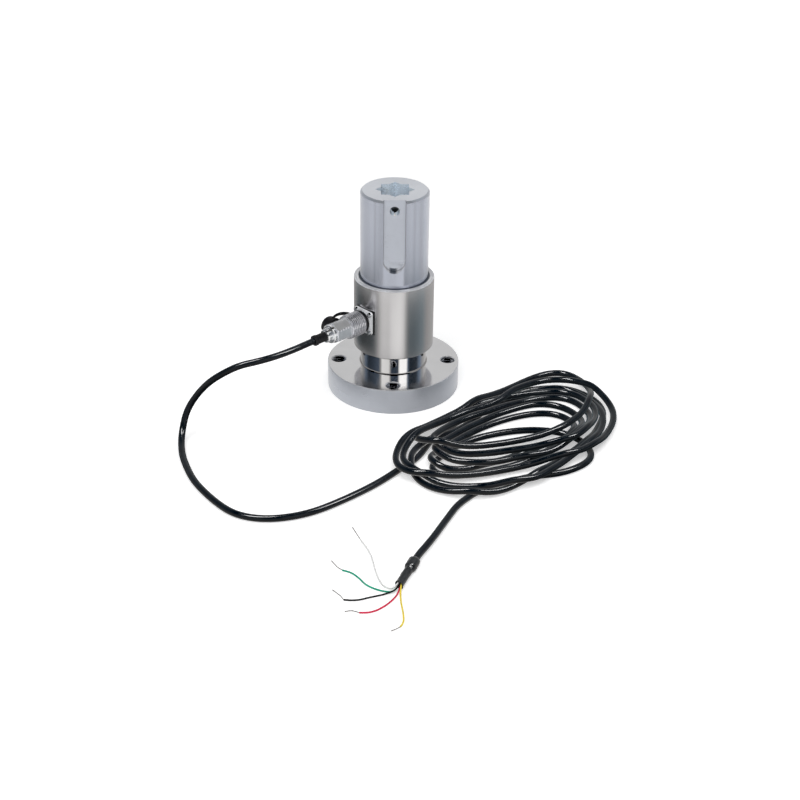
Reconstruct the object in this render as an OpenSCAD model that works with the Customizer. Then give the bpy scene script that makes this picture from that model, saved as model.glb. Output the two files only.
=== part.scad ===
// Static torque sensor with a flange, a double-square drive head, a plug connector and a coiled cable
// Lengths are in millimetres; z = 0 is the surface the flange and the cable stand on

/* [Flange] */
// Outside diameter of the flange
flange_d = 95; // [93:1:110]
// Thickness of the flange
flange_h = 19; // [14:1:26]
// Distance from the flange's edge to the centres of the tapped holes
bolt_inset = 8; // [7:0.5:9]
// Nominal thread diameter of the tapped holes
bolt_hole_d = 10; // [8:1:10]
// Diameter of the centring recess under the flange
pilot_d = 40; // [30:1:50]
// Depth of the centring recess
pilot_h = 4; // [2:0.5:6]

/* [Shaft] */
// Overall height of the sensor
total_h = 151; // [146:1:165]
// Diameter of the drive head
head_d = 48; // [47:0.5:50]
// Diameter of the polished neck above the flange
neck_d = 47.5; // [44:0.5:47.5]
// Diameter of the reduced section that carries the gauges
gauge_d = 32; // [28:1:34]
// Bevel on the head's top edge
head_bevel = 1.4; // [0.5:0.1:2]

/* [Drive socket] */
// Distance across the flats of each of the two squares
square_af = 19.3; // [12.9:0.1:19.5]
// Depth of the drive socket
socket_h = 27; // [20:1:32]
// Width of the slot in the front of the head
slot_w = 15.5; // [12:0.5:18]
// Depth of the slot from the head's outside
slot_depth = 4.5; // [3:0.5:5.5]
// Height of the slot's round lower end above the floor
slot_end_z = 98.3; // [96:0.1:106]
// Diameter of the cross hole from the slot into the drive socket
cross_hole_d = 6.8; // [5:0.1:8]
// Distance of the cross hole below the head's top
cross_hole_drop = 8.1; // [6:0.1:12]

/* [Sleeve] */
// Outside diameter of the sleeve
sleeve_d = 57; // [56.5:0.5:60]
// Height of the sleeve's lower rim above the floor
sleeve_z = 33.5; // [31:0.5:35]
// Length of the sleeve
sleeve_h = 53; // [51:1:56]

/* [Connector] */
// Turn of the connector from the front towards the left, in degrees
connector_turn = 46; // [35:1:60]
// Height of the connector's axis above the floor
connector_z = 60.4; // [59:0.1:62]
// Side of the square mounting plate
plate_w = 17; // [16:0.5:17]
// Distance between neighbouring plate screws
screw_pitch = 13.5; // [13:0.1:13.5]
// Number of contacts
contacts = 5; // [3, 5]
// Number of turned ridges on the coupling ring
ridges = 9; // [6:1:10]
// Number of turned grooves in the plug's hexagon
grip_grooves = 5; // [3:1:6]

/* [Cable] */
// Diameter of the cable
cable_d = 4.6; // [4.2:0.1:5]
// Diameter of each insulated lead
lead_d = 1.1; // [0.9:0.1:1.2]
// Height of the coiled part of the cable
coil_h = 11.5; // [10:0.5:16]

/* [Hidden] */
$fn = 64;
running_gap = 0.05;

// Heights along the shaft
head_z = 80;
band_z = sleeve_z + 1;
band_h = 8.5;
band_top = band_z + band_h;
cone_h = 5;
head_r = head_d / 2;
neck_r = neck_d / 2;
gauge_r = gauge_d / 2;
sleeve_bore_r = head_r + 0.3;
band_r = sleeve_bore_r - running_gap;
neck_fillet = 0.8;
edge_break = 0.5;

// Tapped holes
bolt_circle_d = flange_d - 2 * bolt_inset;
hole_bevel = 0.6;

// Seals
seal_w = 1.2;
seal_h = 1.7;
seal_drop = 0.3;
ring_section_d = 1.7;
ring_groove_h = 2.2;
ring_z = band_z + 4.5;

// Gauges and their board
gauge_flat = gauge_r - 1.5;
gauge_z = (band_top + cone_h + head_z - cone_h) / 2;
foil_t = 0.15;
grid_l = 8;
grid_w = 3.4;
pad_l = 8.4;
pad_w = 3;
pad_drop = 5.5;
board_t = 1.2;
board_in_r = gauge_r + 2.5;
board_out_r = band_r - 1.2;

// Stations along the connector's axis, counted from the shaft's axis
flat_s = 27;
spigot_s = flat_s - 2.2;
insert_s = spigot_s + 0.4;
gasket_t = 1.5;
plate_s = flat_s + gasket_t;
plate_t = 1.6;
plate_face = plate_s + plate_t;
gasket_w = plate_w + 0.5;
plate_collar_h = 0.7;
thread_s = plate_face + 3.6;
insert_end = 33;
ring_s = thread_s + 0.2;
nose_s = insert_end + 0.4;
plug_insert_s = nose_s + 0.4;
contact_s = plug_insert_s + 0.4;
pin_end = 38.2;
pin_point = 0.6;
barrel_s = 41.6;
ring_end = 46;
shoulder_s = barrel_s + 0.2;
shoulder_end = ring_end - 2.4;
chamber_s = ring_end;
body_s = ring_end + 0.3;
plug_insert_end = chamber_s + 1;
cup_s = plug_insert_end + 0.6;
contact_end = plug_insert_end + 2;
body_end = 59;
rear_end = body_end + 0.9;
boot_s = rear_end + 0.5;
collar_end = 62;
gland_end = 66;
boot_end = 76;

// Radii of the connector's parts
spigot_r = 6.3;
plate_neck_r = 6.8;
plate_collar_r = plate_neck_r + 0.7;
barrel_r = 7.4;
barrel_bore_r = 6.2;
insert_r = 5.3;
ring_r = 8.6;
ring_bore_r = barrel_r + running_gap;
nose_r = barrel_bore_r - running_gap;
shell_neck_r = 6.4;
lip_r = shell_neck_r + running_gap;
shoulder_r = 7.2;
hex_r = 7.7;
rear_r = 6.2;
chamber_r = 5;
contact_tail_s = 22;
contact_tail_r = 0.75;
pin_circle_r = 3.1;
pin_r = 0.5;
pin_point_r = 0.2;
cup_r = 0.6;
socket_r = pin_r + running_gap;
socket_out_r = 0.9;
plate_screw_r = 1;
plate_hole_r = 1.15;
screw_head_r = 1.9;
screw_head_h = 1.2;

// Edges, ridges and grooves of the plug
plug_bevel = 0.5;
barrel_bevel = 0.5;
nose_bevel = 0.3;
ridge_rise = 0.45;
ridge_inset = 0.5;
ring_lip_w = 2.3;
groove_depth = 0.35;
groove_inset = 0.9;
groove_slope = 0.3;
groove_flat = 0.7;
clamp_slot_w = 1;
clamp_r = 6.6;
clamp_neck_r = 5;
clamp_end_r = 4.3;

// Boot and cable radii
boot_r = 3.3;
boot_collar_r = 3.7;
boot_collar_h = 2.5;
boot_bevel = 0.4;
cable_r = cable_d / 2;
lead_r = lead_d / 2;

// Dust cap, beside the plug on the side away from the front, its mouth towards the plug
cap_s = 48.2;
cap_side = -9.3;
cap_rise = -3;
cap_r = 7;
cap_h = 8.6;
cap_wall = 1.3;
cap_rim = 0.4;
cap_ring_s = plate_face + screw_head_h + 0.15;
cap_ring_h = 1;
cap_ring_r = plate_neck_r + 1.2;

// Strap from the ring on the receptacle's neck to the cap's rim, an arc through three places
strap_t = 1.3;
strap_w = 2.4;
strap_from = [-7.7, 1.2, 31.5];
strap_to = [-12, 3.6, 47.8];
strap_top = [-12.3, 4.1, 39];

// Places the cable runs through, from the boot to the coil
lead_in = [
    [-48, -46.4, 60.4], [-58, -56, 60.4], [-67, -65, 60.3], [-78, -74, 60],
    [-90, -80.5, 59.2], [-103, -83, 56.8], [-114, -83, 51], [-124.4, -80.7, 42.5],
    [-133.6, -78, 31], [-140.5, -79, 19.5], [-143.2, -84.5, 10], [-143.6, -93.5, 4.2],
    [-141.3, -108, 2.5], [-137.5, -121, 2.5], [-131, -138, 2.5], [-123, -152, 2.5],
    [-112, -167, 2.5], [-101, -178, 2.5], [-89, -183.5, 2.5], [-76, -184.5, 2.5],
    [-62, -181.5, 2.5], [-49, -175.5, 2.5], [-36, -166, 2.5], [-21, -153, 2.5],
    [-8, -140, 2.5], [4, -125.5, 2.5], [13.5, -113.5, 2.5]
];

// Places from the coil to the shrink sleeve
tail = [
    [56, -150.5, 2.5], [48.5, -158.5, 2.5], [41.5, -168.5, 2.5], [34.6, -184, 2.6],
    [27.9, -200, 2.8], [21.7, -213.5, 3], [16.7, -223.5, 3.2], [14.6, -229, 3.2],
    [12.2, -235.4, 3.2]
];

// Coil: a flat racetrack of turns
coil_centre = [90, -79.5];
coil_turn = 41;
coil_straight = 88;
coil_out_r = 47;
coil_in_r = 13;

// Shrink sleeve over the cable's end
shrink_start = [14.6, -229];
shrink_end = [4.9, -254.6];
shrink_bulge_r = 3.2;
shrink_r = 2.6;
shrink_len = norm(shrink_end - shrink_start);
shrink_turn = atan2(shrink_end[1] - shrink_start[1], shrink_end[0] - shrink_start[0]);

// Places of the five leads after the shrink sleeve
white_path = [
    [4.6, -251.7, 3.5], [3.5, -254.3, 3.3], [0.4, -256, 1.6], [-4.6, -251.6, 0.6],
    [-8.2, -242, 0.6], [-10.6, -230, 0.6], [-13, -218.5, 0.6], [-19, -204.4, 0.6]
];
green_path = [
    [5.1, -251.9, 2.1], [4.1, -254.5, 1.9], [0.4, -258, 0.8], [-7, -256.4, 0.6],
    [-14.4, -251.4, 0.6], [-19.4, -244.2, 0.6], [-23.8, -239.4, 0.6], [-29.3, -236.6, 0.6]
];
black_path = [
    [5.8, -252.2, 3.6], [4.8, -254.8, 3.5], [2, -258.6, 2.1], [-4.6, -260.8, 0.6],
    [-12.2, -263.6, 0.6], [-17.9, -265.9, 0.6], [-22.6, -266.6, 0.6], [-27.5, -266.2, 0.6]
];
red_path = [
    [6.5, -252.5, 2.1], [5.6, -255.1, 1.9], [3.4, -261.6, 0.6], [-0.6, -268.4, 0.6],
    [-4.4, -272.8, 0.6], [-8.4, -276.2, 0.6], [-13, -278.2, 0.6], [-18.1, -278.4, 0.6]
];
yellow_path = [
    [7, -252.7, 3.6], [6.2, -255.3, 3.3], [5.8, -261, 1.2], [6.2, -268.4, 0.6],
    [7, -275, 0.6], [7.6, -281.6, 0.6], [7.4, -287, 0.6], [5.8, -291.3, 0.6]
];
white_tip = [[-21.4, -198.4, 0.6], [-24.4, -190.7, 0.6]];
green_tip = [[-32.4, -233.4, 0.6], [-36.2, -227.1, 0.6]];
black_tip = [[-29.6, -262.4, 0.6], [-34.5, -256.5, 0.6]];
red_tip = [[-22.4, -276.7, 0.6], [-26.6, -277.5, 0.6]];
yellow_tip = [[3.2, -293.4, 0.6], [0.6, -295.2, 0.6]];
tip_r = 0.35;

// Wires from the board to the contacts
wire_r = 0.35;

// Sweep of a round section along a list of points
function unit(v) = v / norm(v);
function heading(path, i) =
    unit(path[min(i + 1, len(path) - 1)] - path[max(i - 1, 0)]);
function ring_points(path, i, r, sides, up) =
    let (t = heading(path, i), a = unit(cross(t, up)), b = cross(a, t))
    [for (k = [0 : sides - 1])
        path[i] + r * cos(360 * k / sides) * a + r * sin(360 * k / sides) * b];
function sweep_points(path, r, sides, up) =
    [for (i = [0 : len(path) - 1]) each ring_points(path, i, r, sides, up)];
function sweep_faces(n, sides) = concat(
    [[for (k = [0 : sides - 1]) k]],
    [for (i = [0 : n - 2], k = [0 : sides - 1])
        [i * sides + k, (i + 1) * sides + k,
         (i + 1) * sides + (k + 1) % sides, i * sides + (k + 1) % sides]],
    [[for (k = [sides - 1 : -1 : 0]) (n - 1) * sides + k]]
);

module tube(path, r, sides, up = [0, 0, 1]) {
    polyhedron(
        points = sweep_points(path, r, sides, up),
        faces = sweep_faces(len(path), sides),
        convexity = 8
    );
}

// Moves children from the connector's own axis to their place on the sleeve
module at_connector() {
    rotate([0, 0, -connector_turn])
    translate([0, 0, connector_z])
    rotate([90, 0, 0])
    children();
}

module round_square(w, r, h) {
    linear_extrude(height = h)
    union() {
        square([w - 2 * r, w], center = true);
        square([w, w - 2 * r], center = true);
        for (x = [-1, 1], y = [-1, 1])
            translate([x * (w / 2 - r), y * (w / 2 - r)])
            circle(r = r);
    }
}

module at_plate_screws() {
    for (x = [-1, 1], y = [-1, 1])
        translate([x * screw_pitch / 2, y * screw_pitch / 2, 0])
        children();
}

module at_contacts() {
    for (i = [0 : contacts - 1])
        rotate([0, 0, 90 + 360 * i / contacts])
        translate([pin_circle_r, 0, 0])
        children();
}

// Flange, neck, gauge section and drive head turned from one bar
module shaft_profile() {
    polygon([
        [0, 0],
        [flange_d / 2 - edge_break, 0],
        [flange_d / 2, edge_break],
        [flange_d / 2, flange_h - edge_break],
        [flange_d / 2 - edge_break, flange_h],
        [neck_r + neck_fillet, flange_h],
        [neck_r + 0.25 * neck_fillet, flange_h + 0.25 * neck_fillet],
        [neck_r, flange_h + neck_fillet],
        [neck_r, band_z],
        [band_r, band_z],
        [band_r, ring_z],
        [band_r - ring_section_d, ring_z],
        [band_r - ring_section_d, ring_z + ring_groove_h],
        [band_r, ring_z + ring_groove_h],
        [band_r, band_top],
        [gauge_r + 1.5, band_top],
        [gauge_r + 0.4, band_top + 0.6],
        [gauge_r, band_top + 2],
        [gauge_r, head_z - cone_h],
        [head_r - 3, head_z],
        [head_r, head_z],
        [head_r, total_h - head_bevel],
        [head_r - head_bevel, total_h],
        [0, total_h]
    ]);
}

module drive_star(h) {
    linear_extrude(height = h)
    union() {
        square(square_af, center = true);
        rotate(45) square(square_af, center = true);
    }
}

module tapped_hole() {
    translate([0, 0, -1])
    cylinder(d = bolt_hole_d, h = flange_h + 2);
    translate([0, 0, flange_h - hole_bevel])
    cylinder(d1 = bolt_hole_d, d2 = bolt_hole_d + 4 * hole_bevel, h = 2 * hole_bevel);
    translate([0, 0, -hole_bevel])
    cylinder(d1 = bolt_hole_d + 4 * hole_bevel, d2 = bolt_hole_d, h = 2 * hole_bevel);
}

module head_slot() {
    round_z = slot_end_z + slot_w / 2;
    floor_y = head_r - slot_depth;
    translate([-slot_w / 2, -head_r - 5, round_z])
    cube([slot_w, slot_depth + 5, total_h - round_z + 1]);
    translate([0, -floor_y, round_z])
    rotate([90, 0, 0])
    cylinder(d = slot_w, h = slot_depth + 5);
}

module torsion_body() {
    color("silver")
    difference() {
        rotate_extrude() shaft_profile();
        for (a = [0 : 90 : 270])
            rotate([0, 0, a])
            translate([bolt_circle_d / 2, 0, 0])
            tapped_hole();
        translate([0, 0, -1])
        cylinder(d = pilot_d, h = pilot_h + 1);
        translate([0, 0, total_h - socket_h])
        drive_star(socket_h + 1);
        translate([0, 0, total_h - socket_h - 4])
        cylinder(d1 = square_af * 0.5, d2 = square_af * 0.96, h = 4.01);
        head_slot();
        translate([0, -head_r - 5, total_h - cross_hole_drop])
        rotate([-90, 0, 0])
        cylinder(d = cross_hole_d, h = head_r - 4);
        for (a = [0 : 90 : 270])
            rotate([0, 0, a])
            translate([gauge_flat, -gauge_r, band_top + cone_h - 1])
            cube([gauge_r, gauge_d, head_z - band_top - 2 * cone_h + 1]);
    }
}

module housing_sleeve() {
    sleeve_r = sleeve_d / 2;
    color("gray")
    difference() {
        rotate_extrude()
        polygon([
            [sleeve_bore_r + edge_break, sleeve_z],
            [sleeve_r - edge_break, sleeve_z],
            [sleeve_r, sleeve_z + edge_break],
            [sleeve_r, sleeve_z + sleeve_h - edge_break],
            [sleeve_r - edge_break, sleeve_z + sleeve_h],
            [head_r + seal_w, sleeve_z + sleeve_h],
            [head_r + seal_w, sleeve_z + sleeve_h - seal_drop - seal_h],
            [sleeve_bore_r, sleeve_z + sleeve_h - seal_drop - seal_h],
            [sleeve_bore_r, sleeve_z + edge_break]
        ]);
        at_connector()
        union() {
            translate([0, 0, flat_s])
            round_square(gasket_w + 1.2, 1, 6);
            translate([0, 0, head_r - 4])
            cylinder(r = spigot_r + 0.3, h = 10);
            at_plate_screws()
            translate([0, 0, head_r - 4])
            cylinder(r = plate_screw_r, h = 10);
        }
    }
}

module top_seal() {
    color("black")
    translate([0, 0, sleeve_z + sleeve_h - seal_drop - seal_h])
    difference() {
        cylinder(r = head_r + seal_w, h = seal_h);
        translate([0, 0, -1])
        cylinder(r = head_r, h = seal_h + 2);
    }
}

module bottom_seal() {
    color("black")
    translate([0, 0, ring_z + ring_groove_h / 2])
    rotate_extrude()
    translate([band_r - ring_section_d / 2, 0])
    circle(d = ring_section_d, $fn = 24);
}

module strain_gauges() {
    color("orange")
    for (a = [0 : 90 : 270])
        rotate([0, 0, a])
        translate([gauge_flat, 0, gauge_z])
        rotate([0, 90, 0])
        linear_extrude(height = foil_t)
        union() {
            rotate(45) square([grid_l, grid_w], center = true);
            rotate(-45) square([grid_l, grid_w], center = true);
            translate([pad_drop, 0]) square([pad_w, pad_l], center = true);
        }
}

module terminal_board() {
    color("green")
    translate([0, 0, band_top])
    difference() {
        cylinder(r = board_out_r, h = board_t);
        translate([0, 0, -1])
        cylinder(r = board_in_r, h = board_t + 2);
    }
}

// One wire for each contact, from the board up to the contact's tail
module bridge_wires() {
    color("red")
    rotate([0, 0, -connector_turn])
    for (i = [0 : contacts - 1]) {
        a = 90 + 360 * i / contacts;
        x = pin_circle_r * cos(a);
        z = connector_z + pin_circle_r * sin(a);
        tube([
            [x, -20.6, band_top + board_t], [x, -20.6, band_top + 6], [x, -20.2, z - 2.4],
            [x, -20.5, z - 1.1], [x, -21.1, z - 0.3], [x, -contact_tail_s, z]
        ], wire_r, 8, [1, 0, 0]);
    }
}

module receptacle_gasket() {
    color("black")
    at_connector()
    translate([0, 0, flat_s])
    difference() {
        round_square(gasket_w, 1.6, gasket_t);
        translate([0, 0, -1])
        cylinder(r = spigot_r + 0.1, h = gasket_t + 2);
        at_plate_screws()
        translate([0, 0, -1])
        cylinder(r = plate_hole_r, h = gasket_t + 2);
    }
}

module receptacle_shell() {
    color("lightgray")
    at_connector()
    difference() {
        union() {
            translate([0, 0, plate_s])
            round_square(plate_w, 1.4, plate_t);
            rotate_extrude()
            polygon([
                [0, spigot_s],
                [spigot_r, spigot_s],
                [spigot_r, plate_s + plate_t / 2],
                [plate_collar_r, plate_s + plate_t / 2],
                [plate_collar_r, plate_face + plate_collar_h],
                [plate_neck_r, plate_face + 1.5 * plate_collar_h],
                [plate_neck_r, thread_s - barrel_r + plate_neck_r],
                [barrel_r, thread_s],
                [barrel_r, barrel_s - barrel_bevel],
                [barrel_r - barrel_bevel, barrel_s],
                [0, barrel_s]
            ]);
        }
        translate([0, 0, spigot_s - 1])
        cylinder(r = insert_r, h = barrel_s - spigot_s);
        translate([0, 0, insert_end])
        cylinder(r = barrel_bore_r, h = barrel_s - insert_end + 1);
        at_plate_screws()
        translate([0, 0, plate_s - 1])
        cylinder(r = plate_hole_r, h = plate_t + 2);
    }
}

module receptacle_screws() {
    color("silver")
    at_connector()
    at_plate_screws()
    difference() {
        union() {
            translate([0, 0, plate_s - 3.4])
            cylinder(r = plate_screw_r, h = plate_t + 3.4);
            translate([0, 0, plate_face])
            cylinder(r1 = screw_head_r, r2 = screw_head_r - 0.3, h = screw_head_h);
        }
        translate([0, 0, plate_face + screw_head_h])
        cube([5, 0.5, 1.2], center = true);
    }
}

module receptacle_insert() {
    color("black")
    at_connector()
    difference() {
        translate([0, 0, insert_s])
        cylinder(r = insert_r, h = insert_end - insert_s);
        at_contacts()
        translate([0, 0, insert_s - 1])
        cylinder(r = pin_r, h = insert_end - insert_s + 2);
    }
}

module receptacle_pins() {
    color("gold")
    at_connector()
    at_contacts()
    union() {
        translate([0, 0, contact_tail_s])
        cylinder(r = contact_tail_r, h = insert_s - contact_tail_s);
        translate([0, 0, insert_s])
        cylinder(r = pin_r, h = pin_end - insert_s);
        translate([0, 0, pin_end])
        cylinder(r1 = pin_r, r2 = pin_point_r, h = pin_point);
    }
}

// Moulded in one piece: ring round the receptacle's neck, strap and cap
module dust_cap() {
    color("black")
    at_connector()
    union() {
        translate([0, 0, cap_ring_s])
        difference() {
            cylinder(r = cap_ring_r, h = cap_ring_h);
            translate([0, 0, -1])
            cylinder(r = plate_neck_r + running_gap, h = cap_ring_h + 2);
        }
        strap();
        translate([cap_side, cap_rise, cap_s])
        rotate([0, -90, 0])
        rotate_extrude()
        polygon([
            [cap_r - cap_wall, 0],
            [cap_r - cap_rim / 2, 0],
            [cap_r, cap_rim / 2],
            [cap_r, 4 * cap_rim],
            [cap_r - cap_rim, 5 * cap_rim],
            [cap_r - cap_rim, cap_h - 5 * cap_rim],
            [cap_r - 2.5 * cap_rim, cap_h - 2 * cap_rim],
            [cap_r - 5 * cap_rim, cap_h - 0.5 * cap_rim],
            [cap_r - 8 * cap_rim, cap_h],
            [0, cap_h],
            [0, cap_h - cap_wall],
            [cap_r - cap_wall - cap_rim, cap_h - cap_wall],
            [cap_r - cap_wall - cap_rim, cap_wall / 2]
        ]);
    }
}

module strap() {
    chord = strap_to - strap_from;
    half = norm(chord) / 2;
    along = unit(chord);
    lift = strap_top - (strap_from + strap_to) / 2;
    bow = lift - (lift * along) * along;
    rise = norm(bow);
    out = unit(bow);
    across = cross(out, along);
    bend_r = (half * half + rise * rise) / (2 * rise);
    sweep = asin(half / bend_r);
    hub = (strap_from + strap_to) / 2 - (bend_r - rise) * out;
    multmatrix([
        [out.x, along.x, across.x, hub.x],
        [out.y, along.y, across.y, hub.y],
        [out.z, along.z, across.z, hub.z]
    ])
    rotate([0, 0, -sweep])
    rotate_extrude(angle = 2 * sweep)
    translate([bend_r, 0])
    square([strap_t, strap_w], center = true);
}

module coupling_ring() {
    start = ring_s + ridge_inset;
    pitch = (ring_end - start - ridge_inset - 0.4) / ridges;
    foot = ring_r - ridge_rise;
    color("lightgray")
    at_connector()
    rotate_extrude()
    polygon(concat(
        [[ring_bore_r + nose_bevel, ring_s], [foot, ring_s]],
        [for (i = [0 : ridges - 1]) each [
            [foot, start + i * pitch],
            [ring_r, start + (i + 0.35) * pitch],
            [ring_r, start + (i + 0.65) * pitch]
        ]],
        [
            [foot, start + ridges * pitch],
            [foot + 0.8 * ridge_rise, start + (ridges + 0.3) * pitch],
            [foot, ring_end],
            [lip_r + nose_bevel, ring_end],
            [lip_r, ring_end - nose_bevel],
            [lip_r, ring_end - ring_lip_w],
            [ring_bore_r, ring_end - ring_lip_w],
            [ring_bore_r, ring_s + nose_bevel]
        ]
    ));
}

module plug_body_profile() {
    start = body_s + groove_inset;
    pitch = (body_end - start - groove_flat) / grip_grooves;
    floor_r = hex_r - groove_depth;
    polygon(concat(
        [[0, body_s], [hex_r - plug_bevel, body_s], [hex_r, body_s + plug_bevel]],
        [for (i = [0 : grip_grooves - 1]) each [
            [hex_r, start + i * pitch],
            [floor_r, start + groove_slope + i * pitch],
            [floor_r, start + groove_slope + groove_flat + i * pitch],
            [hex_r, start + 2 * groove_slope + groove_flat + i * pitch]
        ]],
        [
            [hex_r, body_end - plug_bevel],
            [hex_r - plug_bevel, body_end],
            [0, body_end]
        ]
    ));
}

module plug_shell() {
    color("lightgray")
    at_connector()
    difference() {
        union() {
            intersection() {
                rotate_extrude() plug_body_profile();
                translate([0, 0, body_s - 1])
                rotate([0, 0, 30])
                cylinder(r = hex_r * 1.02, h = body_end - body_s + 2, $fn = 6);
            }
            rotate_extrude()
            polygon([
                [0, nose_s],
                [nose_r - nose_bevel, nose_s],
                [nose_r, nose_s + nose_bevel],
                [nose_r, shoulder_s],
                [shoulder_r, shoulder_s],
                [shoulder_r, shoulder_end],
                [shell_neck_r, shoulder_end],
                [shell_neck_r, body_s + plug_bevel],
                [0, body_s + plug_bevel]
            ]);
            translate([0, 0, body_end - plug_bevel])
            cylinder(r = rear_r, h = rear_end - body_end + plug_bevel);
        }
        translate([0, 0, nose_s - 1])
        cylinder(r = insert_r, h = plug_insert_end - nose_s + 1);
        translate([0, 0, chamber_s])
        cylinder(r = chamber_r, h = rear_end - chamber_s + 1);
    }
}

module plug_insert() {
    color("dimgray")
    at_connector()
    difference() {
        translate([0, 0, plug_insert_s])
        cylinder(r = insert_r, h = plug_insert_end - plug_insert_s);
        at_contacts()
        translate([0, 0, plug_insert_s - 1])
        cylinder(r = socket_out_r, h = plug_insert_end - plug_insert_s + 2);
    }
}

module plug_contacts() {
    color("gold")
    at_connector()
    at_contacts()
    difference() {
        translate([0, 0, contact_s])
        cylinder(r = socket_out_r, h = contact_end - contact_s);
        translate([0, 0, contact_s - 1])
        cylinder(r = socket_r, h = pin_end + 3 * pin_point - contact_s + 1);
        translate([0, 0, cup_s])
        cylinder(r = cup_r, h = contact_end - cup_s + 1);
    }
}

// Rear nut with a collar and a slotted end that grips the boot
module clamp_nut() {
    color("lightgray")
    at_connector()
    difference() {
        rotate_extrude()
        polygon([
            [boot_r, rear_end],
            [clamp_r, rear_end],
            [clamp_r, collar_end - plug_bevel],
            [clamp_r - plug_bevel, collar_end],
            [clamp_neck_r, collar_end],
            [clamp_neck_r, gland_end - clamp_neck_r + clamp_end_r],
            [clamp_end_r, gland_end],
            [boot_r, gland_end]
        ]);
        for (a = [30 : 60 : 330])
            rotate([0, 0, a])
            translate([boot_r + plug_bevel, -clamp_slot_w / 2, collar_end + plug_bevel])
            cube([clamp_r, clamp_slot_w, gland_end - collar_end]);
    }
}

module strain_relief_boot() {
    color("black")
    at_connector()
    difference() {
        rotate_extrude()
        polygon([
            [0, boot_s],
            [boot_r, boot_s],
            [boot_r, boot_end - boot_collar_h - boot_bevel],
            [boot_collar_r, boot_end - boot_collar_h],
            [boot_collar_r, boot_end - boot_bevel],
            [boot_collar_r - boot_bevel, boot_end],
            [0, boot_end]
        ]);
        translate([0, 0, boot_s - 1])
        cylinder(r = cable_r + 0.02, h = boot_end - boot_s + 2);
    }
}

module cable() {
    color("black")
    union() {
        tube(lead_in, cable_r, 10);
        tube(tail, cable_r, 10);
    }
}

module coil_section() {
    w = coil_out_r - coil_in_r;
    e = coil_h / 2;
    translate([coil_in_r + w / 2, coil_h / 2])
    union() {
        square([w - 2 * e, coil_h], center = true);
        for (x = [-1, 1])
            translate([x * (w / 2 - e), 0])
            circle(r = e, $fn = 24);
    }
}

module cable_coil() {
    color("black")
    translate([coil_centre[0], coil_centre[1], 0])
    rotate([0, 0, coil_turn])
    union() {
        for (side = [0, 1])
            rotate([0, 0, 180 * side])
            translate([coil_straight / 2, 0, 0])
            rotate([0, 0, -90])
            rotate_extrude(angle = 180) coil_section();
        for (side = [0, 1])
            rotate([0, 0, 180 * side])
            translate([-coil_straight / 2, 0, 0])
            rotate([90, 0, 90])
            linear_extrude(height = coil_straight) coil_section();
    }
}

module shrink_sleeve() {
    color("black")
    translate([shrink_start[0], shrink_start[1], shrink_bulge_r])
    rotate([0, 0, shrink_turn])
    rotate([0, 90, 0])
    difference() {
        rotate_extrude()
        polygon([
            [0, 0],
            [cable_r + 0.4, 0],
            [shrink_bulge_r, 2.2],
            [shrink_bulge_r, 11],
            [shrink_r, 14.5],
            [shrink_r, shrink_len],
            [0, shrink_len]
        ]);
        translate([0, 0, -1])
        cylinder(r = cable_r + 0.03, h = 10);
        translate([0, 0, 8.9])
        cylinder(r = shrink_r - 0.4, h = shrink_len);
    }
}

module lead_white() {
    color("white") tube(white_path, lead_r, 8);
}

module lead_green() {
    color("green") tube(green_path, lead_r, 8);
}

module lead_black() {
    color("black") tube(black_path, lead_r, 8);
}

module lead_red() {
    color("red") tube(red_path, lead_r, 8);
}

module lead_yellow() {
    color("yellow") tube(yellow_path, lead_r, 8);
}

module lead_tips() {
    color("silver")
    union() {
        tube(concat([white_path[7]], white_tip), tip_r, 8);
        tube(concat([green_path[7]], green_tip), tip_r, 8);
        tube(concat([black_path[7]], black_tip), tip_r, 8);
        tube(concat([red_path[7]], red_tip), tip_r, 8);
        tube(concat([yellow_path[7]], yellow_tip), tip_r, 8);
    }
}

torsion_body();
housing_sleeve();
top_seal();
bottom_seal();
strain_gauges();
terminal_board();
bridge_wires();
receptacle_gasket();
receptacle_shell();
receptacle_screws();
receptacle_insert();
receptacle_pins();
dust_cap();
coupling_ring();
plug_shell();
plug_insert();
plug_contacts();
clamp_nut();
strain_relief_boot();
cable();
cable_coil();
shrink_sleeve();
lead_white();
lead_green();
lead_black();
lead_red();
lead_yellow();
lead_tips();
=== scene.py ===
"""Looks of a static torque sensor with its plug, coiled cable and stripped leads.

Pieces are measured in millimetres, the camera, the lamps and the room in metres.
"""

import math

import bpy
import numpy as np
from mathutils import Matrix, Vector


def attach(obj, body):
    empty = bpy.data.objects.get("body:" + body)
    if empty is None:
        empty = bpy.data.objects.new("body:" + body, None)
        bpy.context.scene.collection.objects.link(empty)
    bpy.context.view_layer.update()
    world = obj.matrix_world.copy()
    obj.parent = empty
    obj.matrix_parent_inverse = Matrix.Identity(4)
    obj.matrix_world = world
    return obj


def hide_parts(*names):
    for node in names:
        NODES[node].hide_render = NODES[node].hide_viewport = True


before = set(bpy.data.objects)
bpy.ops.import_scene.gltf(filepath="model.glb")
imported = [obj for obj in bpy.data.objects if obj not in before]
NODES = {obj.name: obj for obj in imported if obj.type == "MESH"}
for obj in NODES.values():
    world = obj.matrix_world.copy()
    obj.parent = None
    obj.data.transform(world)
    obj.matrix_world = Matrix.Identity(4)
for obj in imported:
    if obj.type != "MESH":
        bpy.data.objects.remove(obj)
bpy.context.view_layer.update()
MM = 0.001
TINY = 1e-9

# Camera
CAMERA_AT = (0.0, -1.013095, 0.559956)
CAMERA_AIM = (0.0, 0.0, 0.060)
CAMERA_YAW = 0.263
CAMERA_PITCH = 3.323
CAMERA_ROLL = -0.637
SENSOR_MM = 36.0
LENS_MM = 70.957
CLIP = (0.05, 20.0)


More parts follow.
